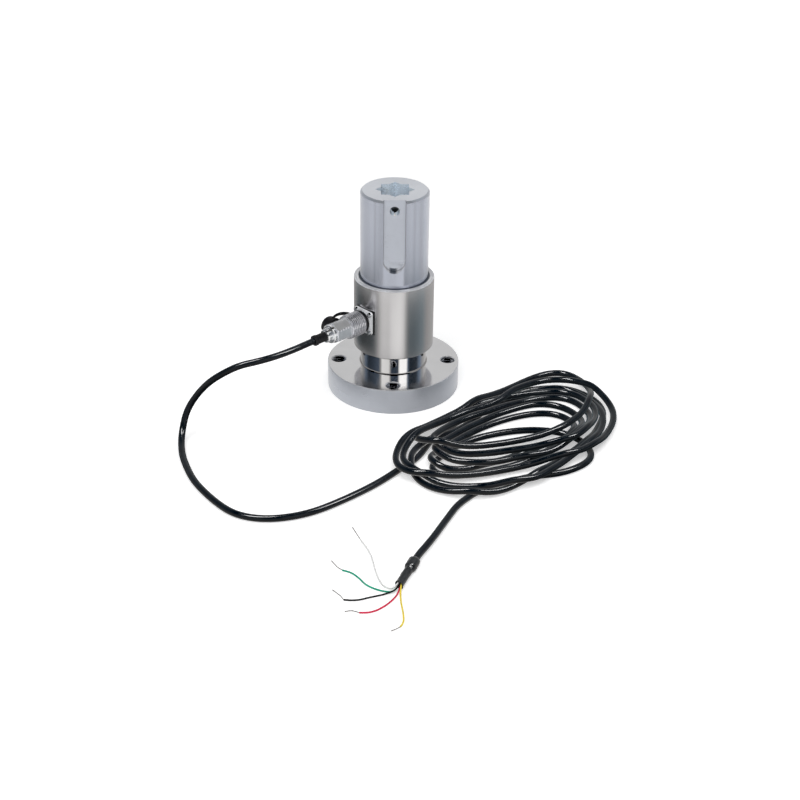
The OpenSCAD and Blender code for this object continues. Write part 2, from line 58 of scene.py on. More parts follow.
def camera():
    data = bpy.data.cameras.new("camera")
    data.sensor_width = SENSOR_MM
    data.lens = LENS_MM
    data.clip_start, data.clip_end = CLIP
    made = bpy.data.objects.new("camera", data)
    bpy.context.scene.collection.objects.link(made)
    back = (Vector(CAMERA_AT) - Vector(CAMERA_AIM)).normalized()
    right = Vector((1, 0, 0))
    level = Matrix((right, back.cross(right), back))
    turn = (Matrix.Rotation(math.radians(CAMERA_ROLL), 3, "Z")
            @ Matrix.Rotation(math.radians(CAMERA_PITCH), 3, "X")
            @ Matrix.Rotation(math.radians(CAMERA_YAW), 3, "Y"))
    made.matrix_world = Matrix.Translation(CAMERA_AT) @ (turn @ level).transposed().to_4x4()
    bpy.context.scene.camera = made


# Cable
CABLE_D = 4.6
CABLE_ROUNDNESS = 4
FLOOR_LEVEL = CABLE_D / 2
SAMPLE_STEP = 3.0
SPAN_PARTS = 10
# Its route from the boot to the coil
LEAD_IN = [
    (-48, -46.4, 60.4), (-58, -56, 60.4), (-67, -65, 60.3), (-78, -74, 60),
    (-90, -80.5, 59.2), (-103, -83, 56.8), (-114, -83, 51), (-124.4, -80.7, 42.5),
    (-133.6, -78, 31), (-140.5, -79, 19.5), (-143.2, -84.5, 10), (-143.6, -93.5, 4.2),
    (-141.3, -108, 2.5), (-137.5, -121, 2.5), (-131, -138, 2.5), (-123, -152, 2.5),
    (-112, -167, 2.5), (-101, -178, 2.5), (-89, -183.5, 2.5), (-76, -184.5, 2.5),
    (-62, -181.5, 2.5), (-49, -175.5, 2.5), (-36, -166, 2.5), (-21, -153, 2.5),
    (-8, -140, 2.5), (4, -125.5, 2.5), (13.5, -113.5, 2.5),
]
# Its route from the coil to the shrink sleeve
TAIL = [
    (72, -140.7, 2.5), (56, -150.5, 2.5), (48.5, -158.5, 2.5), (41.5, -168.5, 2.5),
    (34.6, -184, 2.6), (27.9, -200, 2.8), (21.7, -213.5, 3), (16.7, -223.5, 3.2),
    (14.6, -229, 3.2), (12.2, -235.4, 3.2),
]

# Coil, seen from above: its middle, the way it points and how square its turns are
COIL_CENTRE = (90, -79.5)
COIL_TURN = math.radians(41)
OVAL_POWER = 2.4
# One oval a turn: middle, half length, half width, tilt, taper, bow, place in the pile, height traced for
TURNS = [
    (-10.9, -1.3, 83.1, 40.4, 0.105, 0, 0.17, 1, 4),
    (-7.4, -1.9, 81.3, 39.2, 0.082, -0.013, 0.286, 2, 4),
    (-9.6, 3.0, 88.3, 39.8, -0.085, 0.265, 0.28, 7, 6),
    (4.6, 13.9, 73.7, 29.4, -0.071, 0.30, 0.52, 6, 10),
    (2.2, 9.2, 65.3, 32.9, -0.187, 0.207, 0.205, 5, 7),
    (-1.8, 5.4, 61, 32.3, -0.142, 0.07, 0.025, 4, 6),
    (-11.5, 7.3, 60.7, 27.5, -0.088, 0.19, -0.155, 3, 4),
    (-19, 0.8, 59.7, 25.2, -0.102, 0.092, -0.04, 2.5, 3),
    (-22.8, -13.9, 52.3, 30, -0.378, 0.03, -0.185, 0, 2.3),
]
TURN_STEPS = 24
FIRST_STEP = 4
LAST_STEP = 18
JOIN_STEPS = 5


def oval_point(turn, angle):
    """The place on a turn at an angle round it, seen from above."""
    u_mid, v_mid, length, width, tilt, taper, bow = turn[:7]
    c, s = math.cos(angle), math.sin(angle)
    reach = (abs(c) ** OVAL_POWER + abs(s) ** OVAL_POWER) ** (-1 / OVAL_POWER)
    u = length * c * reach
    v = width * s * reach * (1 + taper * c) + bow * width * c * c
    u, v = (u_mid + u * math.cos(tilt) - v * math.sin(tilt),
            v_mid + u * math.sin(tilt) + v * math.cos(tilt))
    return np.array([
        COIL_CENTRE[0] + u * math.cos(COIL_TURN) - v * math.sin(COIL_TURN),
        COIL_CENTRE[1] + u * math.sin(COIL_TURN) + v * math.cos(COIL_TURN),
    ])


def ease(t):
    t = min(1.0, max(0.0, t))
    return t * t * (3 - 2 * t)


def curve_through(points, parts):
    """Smooth line through the points, each span cut in equal parts."""
    p = np.array(points, float)
    p = np.vstack([2 * p[0] - p[1], p, 2 * p[-1] - p[-2]])
    made = []
    for i in range(1, len(p) - 2):
        a, b, c, d = p[i - 1:i + 3]
        for k in range(parts):
            t = k / parts
            made.append(0.5 * (2 * b + (c - a) * t + (2 * a - 5 * b + 4 * c - d) * t * t
                               + (3 * b - a - 3 * c + d) * t ** 3))
    made.append(p[-2])
    return np.array(made)


def evenly(points, step):
    """The line cut anew in equal steps."""
    along = np.concatenate([[0], np.cumsum(np.linalg.norm(np.diff(points[:, :3], axis=0), axis=1))])
    at = np.linspace(0, along[-1], int(round(along[-1] / step)) + 1)
    return np.stack([np.interp(at, along, points[:, k]) for k in range(points.shape[1])], 1)


def coil_points():
    """Points round the turns: x, y, z, place in the pile, 1 for the coil, and height traced for."""
    made = []
    for i, turn in enumerate(TURNS):
        first = FIRST_STEP if i == 0 else 0
        last = LAST_STEP if i == len(TURNS) - 1 else TURN_STEPS
        for step in range(first, last):
            angle = math.pi - 2 * math.pi * step / TURN_STEPS
            at, facts = oval_point(turn, angle), np.array(turn[7:])
            if i and step < JOIN_STEPS:
                share = ease((step + 0.5) / JOIN_STEPS)
                before = TURNS[i - 1]
                at = oval_point(before, angle) * (1 - share) + at * share
                facts = np.array(before[7:]) * (1 - share) + facts * share
            made.append((*at, FLOOR_LEVEL, facts[0], 1, facts[1]))
    return made


def route_points(route):
    """Points outside the coil, given as the coil's are."""
    return [(*p, 0, 0, p[2]) for p in route]


def headings(plan):
    along = np.gradient(plan, axis=0)
    return along / (np.linalg.norm(along, axis=1)[:, None] + TINY)


def smoothed(line, rounds):
    for _ in range(rounds):
        line[1:-1] += 0.5 * ((line[:-2] + line[2:]) / 2 - line[1:-1])
    return line


# Laying the turns side by side: how close stretches push, how parallel they run, and how far they may move
PAIR_GAP = 1.5 * CABLE_D
PAIR_APART = 8
PAIR_ROUNDS = 5
PARALLEL_FROM = 0.85
PARALLEL_FADE = 0.1
SPREAD_ROUNDS = 90
SPREAD_REACH = 4.0
SPREAD_SMOOTHING = 12
SPREAD_PUSH = 0.22
SPREAD_PULL = 0.012


def spread(home, inside, reach, rounds):
    """The line seen from above, its side-by-side stretches pushed a diameter apart."""
    plan, n = home.copy(), len(home)
    for done in range(rounds):
        along = headings(plan)
        if done % PAIR_ROUNDS == 0:
            near = np.linalg.norm(plan[:, None] - plan[None], axis=2) < PAIR_GAP
            i, j = np.nonzero(np.triu(near, PAIR_APART))
        apart = plan[i] - plan[j]
        beside = np.clip((np.abs((along[i] * along[j]).sum(1)) - PARALLEL_FROM) / PARALLEL_FADE, 0, 1)
        beside *= np.linalg.norm(apart, axis=1) < CABLE_D
        across = np.stack([-along[i][:, 1], along[i][:, 0]], 1)
        offset = (apart * across).sum(1)
        short = np.maximum(0, CABLE_D - np.abs(offset)) * beside * np.where(offset >= 0, 1, -1)
        move, share = np.zeros((n, 2)), np.zeros(n)
        np.add.at(move, i, SPREAD_PUSH * short[:, None] * across)
        np.add.at(move, j, -SPREAD_PUSH * short[:, None] * across)
        np.add.at(share, i, beside)
        np.add.at(share, j, beside)
        move = smoothed(move / np.maximum(1, share)[:, None], SPREAD_SMOOTHING)
        plan += move * inside[:, None]
        plan += (home - plan) * SPREAD_PULL
        shift = plan - home
        size = np.linalg.norm(shift, axis=1)
        plan = home + shift * np.minimum(1, reach / np.maximum(size, TINY))[:, None]
    return home + smoothed(plan - home, SPREAD_SMOOTHING)


# Laying the turns on one another: the rise where two cross, and how the line sinks, lifts and bends to it
STACK_STEP = 4.5
STACK_APART = 6
SETTLE_ROUNDS = 200
LAST_ROUNDS = 12
SINK = 0.06
LIFT = 0.5
PRESS = 0.3
BENDINGS = 8
LAST_BENDINGS = 3
BEND = 0.45
HELD_ABOVE = 0.35


def settled(plan, level, start):
    """The line with its crossing stretches laid on one another."""
    z, n = start.copy(), len(start)
    gap = np.linalg.norm(plan[:, None] - plan[None], axis=2)
    i, j = np.nonzero(np.triu(gap < STACK_STEP, STACK_APART))
    lift = np.sqrt(STACK_STEP ** 2 - gap[i, j] ** 2)
    over = level[i] >= level[j]
    top, low = np.where(over, i, j), np.where(over, j, i)
    held = start > FLOOR_LEVEL + HELD_ABOVE
    for done in range(SETTLE_ROUNDS):
        z -= SINK
        short = np.maximum(0, lift - (z[top] - z[low]))
        up, down = np.zeros(n), np.zeros(n)
        np.maximum.at(up, top, short)
        np.maximum.at(down, low, short)
        last = done > SETTLE_ROUNDS - LAST_ROUNDS
        z += up if last else LIFT * up - PRESS * down
        z = np.maximum(z, FLOOR_LEVEL)
        for _ in range(LAST_BENDINGS if last else BENDINGS):
            z[1:-1] += BEND * ((z[:-2] + z[2:]) / 2 - z[1:-1])
        z[held] = start[held]
        z = np.maximum(z, FLOOR_LEVEL)
    return np.column_stack([plan, z])


def drawn_back(plan, rise):
    """The places moved towards the camera by what a rise hides of them."""
    way = np.array(CAMERA_AT[:2]) / MM - plan
    flat = np.linalg.norm(way, axis=1)
    slope = flat / (CAMERA_AT[2] / MM)
    return plan + way / flat[:, None] * (rise * slope)[:, None]


# The coil is laid three times, each time from where its turns lie once their rise is known
LAYING_TURNS = 3
NEAR_ROUNDS = 60
NEAR_REACH = 3.0
RISE_SMOOTHING = 30
SHIFT_SMOOTHING = 10
LAST_SMOOTHING = 2


def laid(line):
    """The cable's line with its turns lying beside and on one another."""
    traced, inside, seen_at = line[:, :2], line[:, 4], line[:, 5]
    home, reach, rounds = traced, SPREAD_REACH, SPREAD_ROUNDS
    for _ in range(LAYING_TURNS):
        plan = spread(home, inside, reach, rounds)
        made = settled(plan, line[:, 3], line[:, 2])
        rise = smoothed(made[:, 2].copy(), RISE_SMOOTHING) - seen_at
        shift = (drawn_back(traced, rise) - traced) * inside[:, None]
        home = traced + smoothed(shift, SHIFT_SMOOTHING)
        reach, rounds = NEAR_REACH, NEAR_ROUNDS
    return smoothed(made, LAST_SMOOTHING)


def tube_curve(name, points, diameter, roundness):
    """A curve of one open spline with a round section."""
    data = bpy.data.curves.new(name, "CURVE")
    data.dimensions = "3D"
    data.bevel_depth = 1.0
    data.bevel_resolution = roundness
    data.use_fill_caps = True
    spline = data.splines.new("POLY")
    spline.points.add(len(points) - 1)
    spline.points.foreach_set("co", np.column_stack([np.array(points) * MM, np.ones(len(points))]).ravel())
    spline.points.foreach_set("radius", np.full(len(points), diameter / 2 * MM))
    spline.use_smooth = True
    made = bpy.data.objects.new(name, data)
    bpy.context.scene.collection.objects.link(made)
    return made


def cable():
    route = route_points(LEAD_IN) + coil_points() + route_points(TAIL)
    line = laid(evenly(curve_through(route, SPAN_PARTS), SAMPLE_STEP))
    made = tube_curve("cable_run", evenly(line, SAMPLE_STEP), CABLE_D, CABLE_ROUNDNESS)
    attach(made, "plug")
    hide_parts("cable", "cable_coil")
    return made


# Leads
LEAD_D = 1.1
LEAD_ROUNDNESS = 3
LEAD_STEP = 1.0
# Their routes from inside the shrink sleeve to their stripped ends
LEADS = {
    "lead_white": [
        (4.6, -251.7, 3.5), (3.5, -254.3, 3.3), (0.4, -256, 1.6), (-4.6, -251.6, 0.6),
        (-8.2, -242, 0.6), (-10.6, -230, 0.6), (-13, -218.5, 0.6), (-19, -204.4, 0.6),
    ],
    "lead_green": [
        (5.1, -251.9, 2.1), (4.1, -254.5, 1.9), (0.4, -258, 0.8), (-7, -256.4, 0.6),
        (-14.4, -251.4, 0.6), (-19.4, -244.2, 0.6), (-23.8, -239.4, 0.6), (-29.3, -236.6, 0.6),
    ],
    "lead_black": [
        (5.8, -252.2, 3.6), (4.8, -254.8, 3.5), (2, -258.6, 2.1), (-4.6, -260.8, 0.6),
        (-12.2, -263.6, 0.6), (-17.9, -265.9, 0.6), (-22.6, -266.6, 0.6), (-27.5, -266.2, 0.6),
    ],
    "lead_red": [
        (6.5, -252.5, 2.1), (5.6, -255.1, 1.9), (3.4, -261.6, 0.6), (-0.6, -268.4, 0.6),
        (-4.4, -272.8, 0.6), (-8.4, -276.2, 0.6), (-13, -278.2, 0.6), (-18.1, -278.4, 0.6),
    ],
    "lead_yellow": [
        (7, -252.7, 3.6), (6.2, -255.3, 3.3), (5.8, -261, 1.2), (6.2, -268.4, 0.6),
        (7, -275, 0.6), (7.6, -281.6, 0.6), (7.4, -287, 0.6), (5.8, -291.3, 0.6),
    ],
}
# The bare end of each lead past its insulation
TIPS = {
    "lead_white": [(-21.4, -198.4, 0.6), (-24.4, -190.7, 0.6)],
    "lead_green": [(-32.4, -233.4, 0.6), (-36.2, -227.1, 0.6)],
    "lead_black": [(-29.6, -262.4, 0.6), (-34.5, -256.5, 0.6)],
    "lead_red": [(-22.4, -276.7, 0.6), (-26.6, -277.5, 0.6)],
    "lead_yellow": [(3.2, -293.4, 0.6), (0.6, -295.2, 0.6)],
}
TIP_PARTS = 12
# The five tinned strands of each, twisted, a little splayed and with small waves of their own
STRANDS = 5
STRAND_D = 0.24
STRAND_ROUNDNESS = 1
STRAND_TURN = 3.4
STRAND_SPREAD = 0.17
STRAND_SPLAY = 0.09
STRAND_STEP = 0.35
STRAND_WAVE = 0.25
WAVE_RATE = 0.9
WAVE_RATE_STEP = 0.2


def strands(name, end):
    """Twisted strands past the insulation of one lead, as one mesh."""
    line = evenly(curve_through([end] + TIPS[name], TIP_PARTS), STRAND_STEP)
    way = np.gradient(line, axis=0)
    way /= np.linalg.norm(way, axis=1)[:, None]
    side = np.column_stack([-way[:, 1], way[:, 0], np.zeros(len(line))])
    up = np.cross(way, side)
    run = np.arange(len(line)) * STRAND_STEP
    out = STRAND_SPREAD + STRAND_SPLAY * (run / run[-1]) ** 3
    made = None
    for i in range(STRANDS):
        wave = STRAND_WAVE * np.sin(run * (WAVE_RATE + WAVE_RATE_STEP * i))
        turn = 2 * math.pi * (i / STRANDS + run / STRAND_TURN) + wave
        route = line + (out * np.cos(turn))[:, None] * side + (out * np.sin(turn))[:, None] * up
        tube = tube_curve(f"{name}_strands", route, STRAND_D, STRAND_ROUNDNESS)
        made = tube if made is None else made
        tube.select_set(True)
    bpy.context.view_layer.objects.active = made
    bpy.ops.object.convert(target="MESH")
    bpy.ops.object.join()
    made = bpy.context.object
    made.name = f"{name}_strands"
    made.select_set(False)
    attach(made, "plug")
    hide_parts("lead_tips")
    return made


def lead(name, points):
    """One lead's insulation, and the length of its line in metres."""
    line = evenly(curve_through(points, SPAN_PARTS), LEAD_STEP)
    line[:, 2] = np.maximum(line[:, 2], LEAD_D / 2)
    made = tube_curve(name + "_run", line, LEAD_D, LEAD_ROUNDNESS)
    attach(made, "plug")
    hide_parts(name)
    return made, np.linalg.norm(np.diff(line, axis=0), axis=1).sum() * MM


# Turned pieces: each outline gives radius and height, and is spun about the upright axis
SPIN_STEPS = 72
SMOOTH_ANGLE = 25
WELD = 1e-6
HOLE_SIDES = 8
# The connector's axis, which leaves the sleeve level at its front left
CONNECTOR_WAY = (-0.71934, -0.694658, 0.0)
CONNECTOR_SIDE = (0.694658, -0.71934, 0.0)
CONNECTOR_Z = 60.4


def outline(name, points):
    """A mesh that holds one closed outline, selected and active."""
    mesh = bpy.data.meshes.new(name)
    ends = [(i, (i + 1) % len(points)) for i in range(len(points))]
    mesh.from_pydata([(r * MM, 0, h * MM) for r, h in points], ends, [])
    made = bpy.data.objects.new(name, mesh)
    bpy.context.scene.collection.objects.link(made)
    bpy.ops.object.select_all(action="DESELECT")
    bpy.context.view_layer.objects.active = made
    made.select_set(True)
    return made


def cleaned(made, angle):
    """Joins doubled points, fills open ends, faces everything outward and smooths it."""
    bpy.ops.object.mode_set(mode="EDIT")
    bpy.ops.mesh.select_all(action="SELECT")
    bpy.ops.mesh.remove_doubles(threshold=WELD)
    bpy.ops.mesh.fill_holes(sides=HOLE_SIDES)
    bpy.ops.mesh.normals_make_consistent(inside=False)
    bpy.ops.object.mode_set(mode="OBJECT")
    bpy.ops.object.shade_smooth_by_angle(angle=math.radians(angle))
    made.select_set(False)


def spun(name, points, angle=SMOOTH_ANGLE):
    made = outline(name, points)
    bpy.ops.object.mode_set(mode="EDIT")
    bpy.ops.mesh.select_all(action="SELECT")
    bpy.ops.mesh.spin(steps=SPIN_STEPS, angle=2 * math.pi, center=(0, 0, 0), axis=(0, 0, 1))
    bpy.ops.object.mode_set(mode="OBJECT")
    cleaned(made, angle)
    return made


# Coupling ring: stations along the connector, radii, and the turned ridges round it
RING_SPAN = (33.9, 46.0)
RIDGED_SPAN = (34.4, 45.1)
RING_R = 8.6
RING_BORE_R = 7.45
RING_LIP_R = 6.45
RING_LIP_W = 2.3
REAR_BEVEL = (0.3, 0.25)
FRONT_BAND_R = 8.4
FRONT_BAND_RISE = 0.25
FRONT_BEVEL = 0.3
RIDGES = 7
RIDGE_DEPTH = 0.75
RIDGE_SHAPE = ((0.0, 1.0), (0.30, 0.05), (0.42, 0.0), (0.58, 0.0), (0.70, 0.05))


def ridged_ring():
    rear, front = RING_SPAN
    start, end = RIDGED_SPAN
    pitch = (end - start) / RIDGES
    points = [(RING_BORE_R, rear), (RING_R - REAR_BEVEL[0], rear), (RING_R, rear + REAR_BEVEL[1])]
    for i in range(RIDGES):
        points += [(RING_R - RIDGE_DEPTH * deep, start + (i + along) * pitch) for along, deep in RIDGE_SHAPE]
    points += [(RING_R - RIDGE_DEPTH, end), (FRONT_BAND_R, end + FRONT_BAND_RISE),
               (FRONT_BAND_R, front - FRONT_BEVEL), (FRONT_BAND_R - FRONT_BEVEL, front),
               (RING_LIP_R, front), (RING_LIP_R, front - RING_LIP_W), (RING_BORE_R, front - RING_LIP_W)]
    made = spun("ridged_ring", points)
    made.data.transform(Matrix((CONNECTOR_SIDE, (0, 0, 1), CONNECTOR_WAY)).transposed().to_4x4())
    made.data.transform(Matrix.Translation((0, 0, CONNECTOR_Z * MM)))
    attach(made, "ring")
    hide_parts("coupling_ring")
    return made


# Threads of the flange's four holes: one turn of the ridge, and how far it is turned up
BOLT_HOLES = 4
BOLT_CIRCLE_R = 39.5
BOLT_HOLE_R = 5.0
THREAD_PITCH = 1.5
THREAD_TURNS = 10
THREAD_FROM = 1.6
THREAD_STEPS = 36
THREAD_ROOT_R = 5.03
THREAD_CREST_R = 4.30
THREAD_CREST = (0.62, 0.88)


def threads():
    crest = [(THREAD_CREST_R, height) for height in THREAD_CREST]
    made = outline("bolt_hole_threads", [(THREAD_ROOT_R, 0.0), *crest, (THREAD_ROOT_R, THREAD_PITCH)])
    turned = made.modifiers.new("turned_up", "SCREW")
    turned.angle = 2 * math.pi
    turned.screw_offset = THREAD_PITCH * MM
    turned.iterations = THREAD_TURNS
    turned.steps = turned.render_steps = THREAD_STEPS
    bpy.ops.object.modifier_apply(modifier="turned_up")
    cleaned(made, SMOOTH_ANGLE)
    made.data.transform(Matrix.Translation((BOLT_CIRCLE_R * MM, 0, THREAD_FROM * MM)))
    for i in range(1, BOLT_HOLES):
        other = made.copy()
        other.data = made.data.copy()
        other.data.transform(Matrix.Rotation(i * 2 * math.pi / BOLT_HOLES, 4, "Z"))
        bpy.context.scene.collection.objects.link(other)
        other.select_set(True)
    made.select_set(True)
    bpy.context.view_layer.objects.active = made
    bpy.ops.object.join()
    made.select_set(False)
    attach(made, "sensor")
    return made


# Shrink sleeve: radius by distance along it, from the cable outwards and back through its bore
SHRINK_FROM = (14.6, -229.0)
SHRINK_TO = (4.9, -254.6)
SHRINK_AXIS_Z = 3.2
SHRINK_OUTLINE = (
    (2.36, 0.0), (2.9, 0.1), (3.35, 0.7), (3.65, 1.8), (3.72, 3.2), (3.6, 4.6), (3.7, 6.2), (3.62, 8.2),
    (3.3, 9.6), (2.75, 10.6), (2.62, 12.0), (2.7, 13.6), (2.6, 15.4), (2.66, 17.4), (2.58, 19.6),
    (2.62, 22.0), (2.56, 24.2), (2.7, 26.2), (2.86, 27.3), (2.5, 27.4), (2.25, 25.5), (2.2, 14.0),
    (2.34, 9.0), (2.36, 4.0),
)
SHRINK_ANGLE = 60
SHRINK_LOWEST = 0.03
# Its wrinkles lie outside this radius, as waves of a size, a number round it, a rate along it and a start
WRINKLED_R = 2.45
WRINKLE = 0.14
WAVES = ((1.0, 3, 0.55, 0.0), (0.6, 5, -0.8, 2.0), (0.5, 2, 1.9, 0.0))
# The first wave swells and fades along the sleeve
SWELL_RATE = 0.9
SWELL_START = 1.3
# Its end is cut a little aslant
CUT_FROM = 26
CUT_SLANT = 0.9


def wrinkled_sleeve():
    made = spun("wrinkled_sleeve", SHRINK_OUTLINE, SHRINK_ANGLE)
    mesh = made.data
    at = np.zeros(len(mesh.vertices) * 3)
    mesh.vertices.foreach_get("co", at)
    at = at.reshape(-1, 3) / MM
    radius, turn, along = np.hypot(at[:, 0], at[:, 1]), np.arctan2(at[:, 1], at[:, 0]), at[:, 2]
    waves = [size * np.sin(count * turn + rate * along + start) for size, count, rate, start in WAVES]
    waves[0] *= np.sin(SWELL_RATE * along + SWELL_START)
    radius = radius + np.where(radius > WRINKLED_R, WRINKLE * sum(waves), 0.0)
    along = along + np.where(along > CUT_FROM, CUT_SLANT * np.cos(turn), 0.0)
    way = np.array([SHRINK_TO[0] - SHRINK_FROM[0], SHRINK_TO[1] - SHRINK_FROM[1], 0.0])
    way /= np.linalg.norm(way)
    side, up = np.array([-way[1], way[0], 0.0]), np.array([0.0, 0.0, 1.0])
    place = (np.array([*SHRINK_FROM, SHRINK_AXIS_Z]) + along[:, None] * way
             + (radius * np.cos(turn))[:, None] * side + (radius * np.sin(turn))[:, None] * up)
    place[:, 2] = np.maximum(place[:, 2], SHRINK_LOWEST)
    mesh.vertices.foreach_set("co", (place * MM).ravel())
    mesh.update()
    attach(made, "plug")
    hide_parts("shrink_sleeve")
    return made


camera()
ring_piece = ridged_ring()
thread_piece = threads()
sleeve_piece = wrinkled_sleeve()
cable_run = cable()
lead_runs, lead_ends = {}, {}
for name, points in LEADS.items():
    lead_runs[name], length = lead(name, points)
    lead_ends[name] = strands(name, points[-1])


# Shader nodes
def join(tree, source, target):
    """Links a socket to the target, or sets the target to a value."""
    if isinstance(source, bpy.types.NodeSocket):
        tree.links.new(source, target)
    else:
        target.default_value = source


def math_node(tree, kind, *values):
    node = tree.nodes.new("ShaderNodeMath")
    node.operation = kind
    for value, socket in zip(values, node.inputs):
        join(tree, value, socket)
    return node.outputs[0]


def split(tree, vector):
    node = tree.nodes.new("ShaderNodeSeparateXYZ")
    tree.links.new(vector, node.inputs[0])
    return node.outputs


def joined(tree, x, y, z):
    node = tree.nodes.new("ShaderNodeCombineXYZ")
    for value, socket in zip((x, y, z), node.inputs):
        join(tree, value, socket)
    return node.outputs[0]


def grey(tree, value):
    return joined(tree, value, value, value)


def distance(tree, x, y):
    """The distance of x, y from the origin."""
    return math_node(tree, "SQRT", math_node(tree, "ADD", math_node(tree, "MULTIPLY", x, x),
                                             math_node(tree, "MULTIPLY", y, y)))


def noise(tree, place, scale, detail=3.0, rough=0.55, warp=0.0):
    node = tree.nodes.new("ShaderNodeTexNoise")
    tree.links.new(place, node.inputs["Vector"])
    node.inputs["Scale"].default_value = scale
    node.inputs["Detail"].default_value = detail
    node.inputs["Roughness"].default_value = rough
    node.inputs["Distortion"].default_value = warp
    return node.outputs["Fac"]


def between(tree, share, low, high, start=0.3, end=0.7):
    """A number from low to high as the share goes from start to end."""
    node = tree.nodes.new("ShaderNodeMapRange")
    join(tree, share, node.inputs["Value"])
    for name, value in (("From Min", start), ("From Max", end), ("To Min", low), ("To Max", high)):
        node.inputs[name].default_value = value
    return node.outputs[0]


def colour(value):
    return (*value, 1.0) if isinstance(value, tuple) else value


# Places of a mix node's colour sockets, whose names other sockets share
MIX_FIRST = 6
MIX_SECOND = 7
MIX_MADE = 2


def tinted(tree, share, dark, light):
    """A colour from dark to light as the share goes from 0 to 1."""
    node = tree.nodes.new("ShaderNodeMix")
    node.data_type = "RGBA"
    join(tree, share, node.inputs[0])
    join(tree, colour(dark), node.inputs[MIX_FIRST])
    join(tree, colour(light), node.inputs[MIX_SECOND])
    return node.outputs[MIX_MADE]


def bumped(tree, shader, height, strength, depth):
    node = tree.nodes.new("ShaderNodeBump")
    node.inputs["Strength"].default_value = strength
    node.inputs["Distance"].default_value = depth
    tree.links.new(height, node.inputs["Height"])
    tree.links.new(node.outputs[0], shader.inputs["Normal"])


# Materials, whose patterns take their place on the piece in metres
WEAR_SCALE = 70
SPECK_SCALE = 3500
FILM_GRAIN = 1800
PATCH_SCALE = 140
RING_WAY = 0.25
# Centre of the slot's round end in millimetres, then in metres where its polish ends and where the painted
# shade along the edges of its floor starts
SLOT_ARC_Z = 106.0
SLOT_POLISHED = (0.1025, 0.1065)
SLOT_SHADE_SPAN = (0.0070, 0.0077)
# Colour of the painted shade along the edges of the slot's floor
PAINTED_SLOT_SHADE = (0.10, 0.10, 0.12)
# The socket goes from painted shade deep down to its own colour over these heights
SOCKET_SHADE_SPAN = (0.131, 0.137)
SOCKET_SHADE = (0.04, 0.045, 0.05)


def material(name, metallic=0.0, coat=0.0, anisotropy=0.0, ior=1.5):
    """A new material with its tree, its shader and the place on the piece."""
    made = bpy.data.materials.new(name)
    made.use_nodes = True
    tree = made.node_tree
    shader = tree.nodes["Principled BSDF"]
    shader.inputs["Metallic"].default_value = metallic
    shader.inputs["IOR"].default_value = ior
    shader.inputs["Coat Weight"].default_value = coat
    shader.inputs["Anisotropic"].default_value = anisotropy
    place = tree.nodes.new("ShaderNodeTexCoord").outputs["Object"]
    return made, tree, shader, place


def opened(made):
    """The tree, the shader and the place on the piece of a material made before."""
    tree = made.node_tree
    return tree, tree.nodes["Principled BSDF"], tree.nodes["Texture Coordinate"].outputs["Object"]


def feeding(socket):
    return socket.links[0].from_socket


def lathe_place(tree, place):
    """Radius and height about the upright axis, where a lathe's rings are level lines."""
    x, y, z = split(tree, place)
    return joined(tree, distance(tree, x, y), 0.0, z)


def steel(name, dark, light, rough, ring_scale=2200, ring_depth=4e-6, anisotropy=0.0, patches=0.05, speck=0.0,
          metallic=1.0):
    """Machined steel with fine rings, dull patches and, where speck is above 0, a blasted grain."""
    made, tree, shader, place = material(name, metallic, anisotropy=anisotropy)
    rings = noise(tree, lathe_place(tree, place), ring_scale, detail=4.0, rough=0.7)
    worn = noise(tree, place, WEAR_SCALE, detail=4.0, rough=0.6, warp=0.4)
    wear = between(tree, worn, 0.0, 1.0, start=0.25, end=0.75)
    join(tree, tinted(tree, wear, dark, light), shader.inputs["Base Color"])
    dull = math_node(tree, "ADD", between(tree, worn, rough - patches, rough + patches),
                     between(tree, rings, -patches, patches))
    join(tree, dull, shader.inputs["Roughness"])
    if anisotropy:
        shader.inputs["Anisotropic Rotation"].default_value = RING_WAY
        tangent = tree.nodes.new("ShaderNodeTangent")
        tangent.direction_type = "RADIAL"
        tangent.axis = "Z"
        tree.links.new(tangent.outputs[0], shader.inputs["Tangent"])
    height = rings
    if speck:
        grain = noise(tree, place, SPECK_SCALE, detail=2.0)
        height = math_node(tree, "ADD", rings, math_node(tree, "MULTIPLY", grain, speck))
    bumped(tree, shader, height, strength=0.5, depth=ring_depth)
    return made


def from_slot_middle(tree, x, z):
    """Distance from the slot's middle line, which ends at the centre of its round end."""
    below = math_node(tree, "MINIMUM", math_node(tree, "SUBTRACT", z, SLOT_ARC_Z * MM), 0.0)
    return distance(tree, x, below)


def slot_steel(name, dark, light):
    """Milled steel, dull along the slot, polished at its round end and darkened as painted shade in the
    corner of its floor.
    """
    made = steel(name, dark, light, 0.30,
                 ring_scale=900, ring_depth=4e-7, patches=0.03, speck=0.3, metallic=0.85)
    tree, shader, place = opened(made)
    x, _, z = split(tree, place)
    polish = between(tree, z, 0.25, 1.0, *SLOT_POLISHED)
    dull = feeding(shader.inputs["Roughness"])
    tree.links.new(math_node(tree, "MULTIPLY", dull, polish), shader.inputs["Roughness"])
    # Painted shade: the floor darkens towards the slot's walls and its round end
    painted_shade = between(tree, from_slot_middle(tree, x, z), 0.0, 0.55, *SLOT_SHADE_SPAN)
    unshaded = feeding(shader.inputs["Base Color"])
    tree.links.new(tinted(tree, painted_shade, unshaded, PAINTED_SLOT_SHADE), shader.inputs["Base Color"])
    return made


def socket_steel(name, dark, light):
    """Broached steel, darkened deep inside the socket as painted shade."""
    made = steel(name, dark, light, 0.30, ring_scale=700, ring_depth=3e-6, patches=0.08, metallic=0.25)
    tree, shader, place = opened(made)
    # Painted shade darkens the socket below these heights
    unshaded_share = between(tree, split(tree, place)[2], 0.0, 1.0, *SOCKET_SHADE_SPAN)
    unshaded = feeding(shader.inputs["Base Color"])
    tree.links.new(tinted(tree, unshaded_share, SOCKET_SHADE, unshaded), shader.inputs["Base Color"])
    return made


